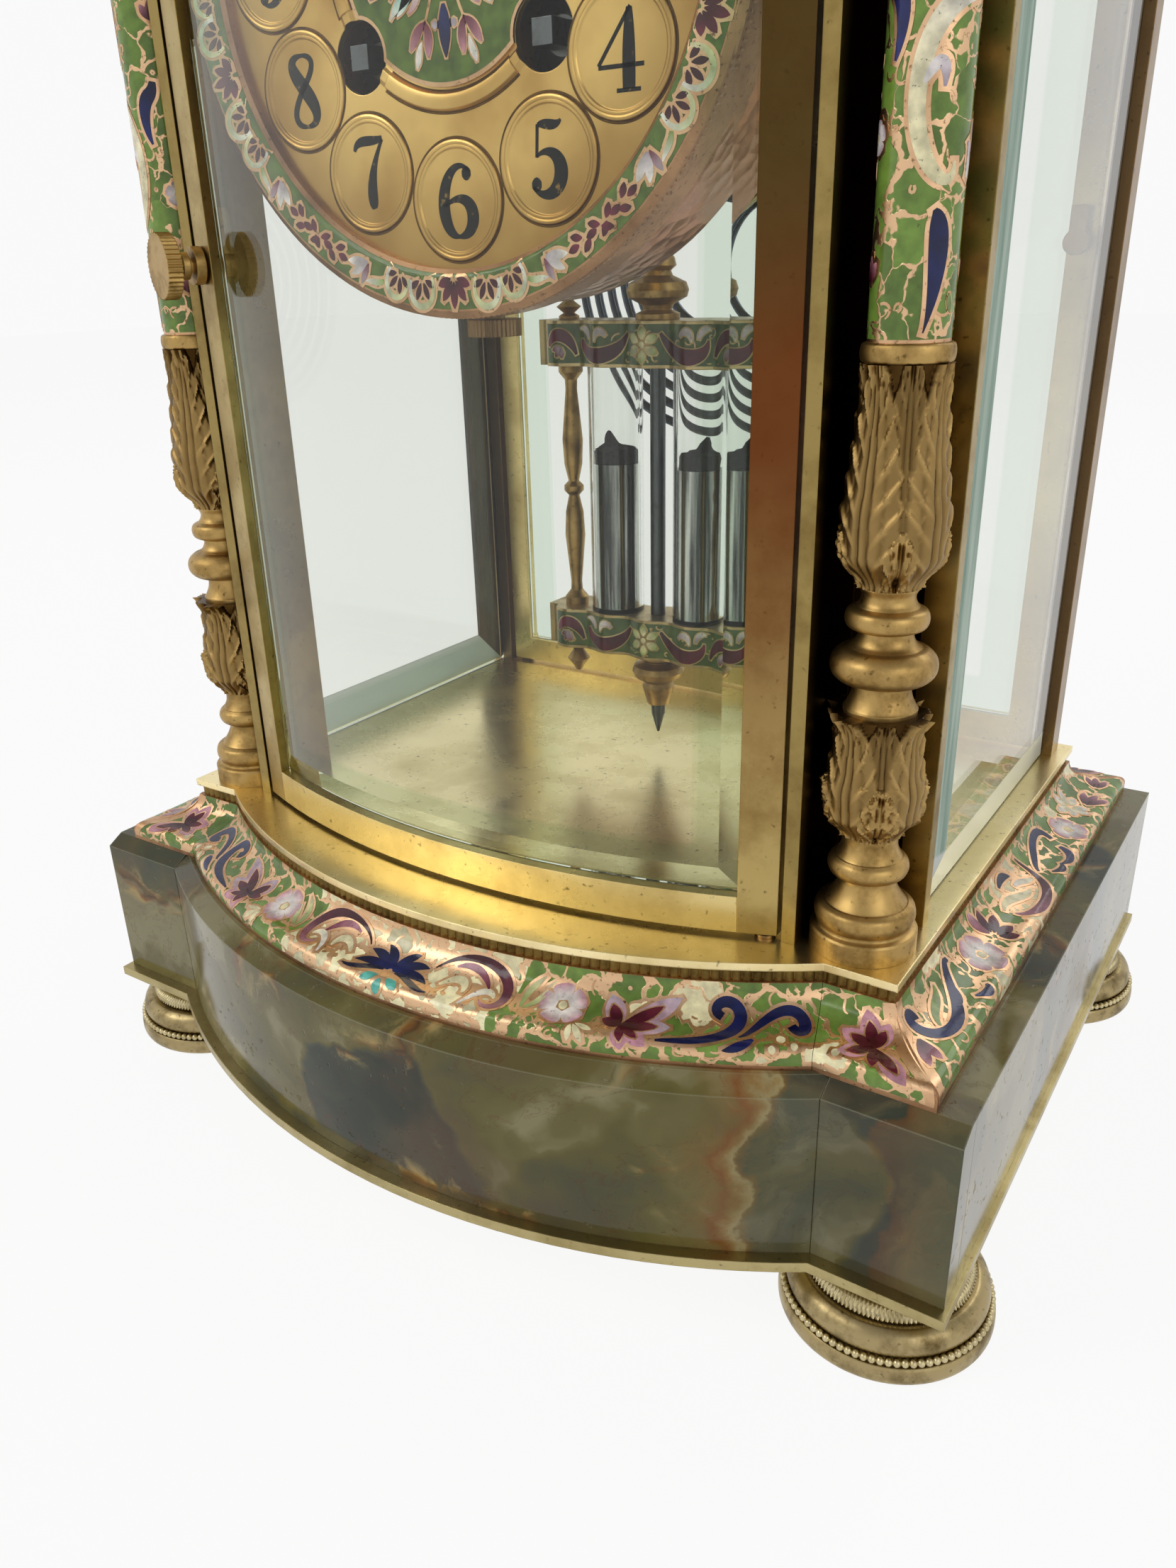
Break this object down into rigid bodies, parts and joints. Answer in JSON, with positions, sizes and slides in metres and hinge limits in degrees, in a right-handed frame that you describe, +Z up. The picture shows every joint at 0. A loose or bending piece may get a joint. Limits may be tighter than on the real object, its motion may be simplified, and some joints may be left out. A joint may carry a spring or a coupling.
{
  "type": "crystal regulator clock",
  "caption": "Bow-fronted mantel clock with bevelled glass walls, onyx base and top, champleve enamel mouldings and columns, striking movement and mercury vial pendulum.",
  "frame": {"origin": "on the surface that the feet stand on, under the middle of the plan box", "axes": "+Z up, -Y to the front where the dial and the bowed door are, +X to the right seen from the front"},
  "size_m": [0.2298, 0.1906, 0.3449],
  "materials": {
    "satin_brass": "satin, aged",
    "gilt_bronze": "matte gilt casting",
    "champleve_enamel": "fired glossy enamel in copper cells",
    "polished_onyx": "polished, veined",
    "stone_core": "sawn",
    "bevelled_glass": "polished",
    "gilt_dial": "matte gilt",
    "movement_brass": "brushed",
    "steel": "polished",
    "dark_steel": "dark",
    "mercury": "liquid metal"
  },
  "bodies": {
    "case": {"bun_feet": "satin_brass", "bottom_plate": "satin_brass", "base_riser": "satin_brass", "platform": "satin_brass", "front_posts": "satin_brass", "rear_posts": "satin_brass", "top_plate": "satin_brass", "door_pivots": "satin_brass", "drum_thumb_screw": "satin_brass", "suspension_cock": "satin_brass", "column_turnings": "gilt_bronze", "column_leaf_cups": "gilt_bronze", "column_leaf_vases": "gilt_bronze", "column_capitals": "gilt_bronze", "base_cove_front": "champleve_enamel", "base_cove_sides": "champleve_enamel", "cornice_front": "champleve_enamel", "cornice_sides": "champleve_enamel", "column_shafts": "champleve_enamel", "dial_medallion": "champleve_enamel", "bezel": "champleve_enamel", "onyx_bow_front": "polished_onyx", "onyx_front_corners": "polished_onyx", "onyx_walls": "polished_onyx", "onyx_top": "polished_onyx", "stone_core": "stone_core", "side_glasses": "bevelled_glass", "dial_plate": "gilt_dial", "movement_drum": "movement_brass", "front_plate": "movement_brass", "back_plate": "movement_brass", "gong": "steel"},
    "front_door": {"front_door_stiles": "satin_brass", "front_door_rails": "satin_brass", "front_door_glass": "bevelled_glass"},
    "front_latch": {"front_door_knob": "satin_brass"},
    "rear_door": {"rear_door_frame": "satin_brass", "rear_door_glass": "bevelled_glass"},
    "rear_latch": {"rear_door_knob": "satin_brass"},
    "winding_going": {"winding_arbor_going": "steel"},
    "winding_strike": {"winding_arbor_strike": "steel"},
    "going_barrel": {"barrel_going": "movement_brass"},
    "strike_barrel": {"barrel_strike": "movement_brass"},
    "intermediate": {"intermediate_wheel": "movement_brass"},
    "centre": {"centre_wheel": "movement_brass"},
    "third": {"third_wheel": "movement_brass"},
    "escape": {"escape_wheel": "movement_brass"},
    "minute": {"cannon_pinion": "steel", "minute_hand": "dark_steel"},
    "motion": {"minute_wheel": "movement_brass"},
    "hour": {"hour_wheel": "movement_brass", "hour_hand": "dark_steel"},
    "anchor": {"pallets": "steel"},
    "pendulum": {"pendulum_rod": "steel", "pendulum_bars": "champleve_enamel", "pendulum_balusters": "gilt_bronze", "pendulum_vials": "bevelled_glass", "pendulum_mercury": "mercury"},
    "regulator_nut": {"rating_nut": "gilt_bronze"},
    "strike_hammer": {"hammer": "steel"}
  },
  "joints": [
    {"name": "front_door_hinge", "type": "hinge", "parent": "case", "child": "front_door", "pos_m": [0.0638, -0.0484, 0.076], "axis": [0, 0, 1], "range_deg": [0, 100]},
    {"name": "front_latch_turn", "type": "hinge", "parent": "front_door", "child": "front_latch", "pos_m": [-0.06377, -0.05049, 0.1874], "axis": [-0.3583, -0.9336, 0], "range_deg": [0, 90]},
    {"name": "rear_door_hinge", "type": "hinge", "parent": "case", "child": "rear_door", "pos_m": [-0.0771, 0.071, 0.076], "axis": [0, 0, 1], "range_deg": [0, 110]},
    {"name": "rear_latch_turn", "type": "hinge", "parent": "rear_door", "child": "rear_latch", "pos_m": [0.0755, 0.0724, 0.1874], "axis": [0, 1, 0], "range_deg": [0, 90]},
    {"name": "winding_going_turn", "type": "hinge", "parent": "case", "child": "winding_going", "pos_m": [0.0192, -0.0178, 0.2195], "axis": [0, 1, 0], "continuous": true},
    {"name": "winding_strike_turn", "type": "hinge", "parent": "case", "child": "winding_strike", "pos_m": [-0.0192, -0.0178, 0.2195], "axis": [0, 1, 0], "continuous": true},
    {"name": "minute_turn", "type": "hinge", "parent": "case", "child": "minute", "pos_m": [0, -0.0178, 0.2349], "axis": [0, 1, 0], "continuous": true},
    {"name": "motion_turn", "type": "hinge", "parent": "case", "child": "motion", "pos_m": [0, -0.0178, 0.2493], "axis": [0, 1, 0], "continuous": true},
    {"name": "hour_turn", "type": "hinge", "parent": "case", "child": "hour", "pos_m": [0, -0.0178, 0.2349], "axis": [0, 1, 0], "continuous": true},
    {"name": "third_turn", "type": "hinge", "parent": "case", "child": "third", "pos_m": [-0.01214, -0.0178, 0.24589], "axis": [0, 1, 0], "continuous": true},
    {"name": "centre_turn", "type": "hinge", "parent": "case", "child": "centre", "pos_m": [0, -0.0178, 0.2349], "axis": [0, 1, 0], "continuous": true},
    {"name": "intermediate_turn", "type": "hinge", "parent": "case", "child": "intermediate", "pos_m": [0.01649, -0.0178, 0.24078], "axis": [0, 1, 0], "continuous": true},
    {"name": "going_barrel_turn", "type": "hinge", "parent": "case", "child": "going_barrel", "pos_m": [0.0192, -0.0178, 0.2195], "axis": [0, 1, 0], "continuous": true},
    {"name": "escape_turn", "type": "hinge", "parent": "case", "child": "escape", "pos_m": [0, -0.0178, 0.2549], "axis": [0, 1, 0], "continuous": true},
    {"name": "strike_barrel_turn", "type": "hinge", "parent": "case", "child": "strike_barrel", "pos_m": [-0.0192, -0.0178, 0.2195], "axis": [0, 1, 0], "continuous": true},
    {"name": "pendulum_swing", "type": "hinge", "parent": "case", "child": "pendulum", "pos_m": [0, 0.0222, 0.2699], "axis": [0, 1, 0], "range_deg": [-3.5, 3.5]},
    {"name": "anchor_rock", "type": "hinge", "parent": "case", "child": "anchor", "pos_m": [0, -0.0108, 0.2699], "axis": [0, 1, 0], "range_deg": [-3.5, 3.5]},
    {"name": "regulator_nut_turn", "type": "hinge", "parent": "pendulum", "child": "regulator_nut", "pos_m": [0, 0.0222, 0.091], "axis": [0, 0, 1], "continuous": true},
    {"name": "hammer_swing", "type": "hinge", "parent": "case", "child": "strike_hammer", "pos_m": [-0.036, 0.0292, 0.2149], "axis": [0, 1, 0], "range_deg": [0, 14]}
  ],
  "couplings": [
    {"joint": "motion_turn", "follows": "minute_turn", "ratio": -0.33333},
    {"joint": "hour_turn", "follows": "minute_turn", "ratio": 0.083333},
    {"joint": "centre_turn", "follows": "third_turn", "ratio": -0.083333},
    {"joint": "intermediate_turn", "follows": "third_turn", "ratio": 0.013889},
    {"joint": "going_barrel_turn", "follows": "third_turn", "ratio": -0.0025253},
    {"joint": "escape_turn", "follows": "third_turn", "ratio": -11},
    {"joint": "anchor_rock", "follows": "pendulum_swing", "ratio": 1}
  ]
}
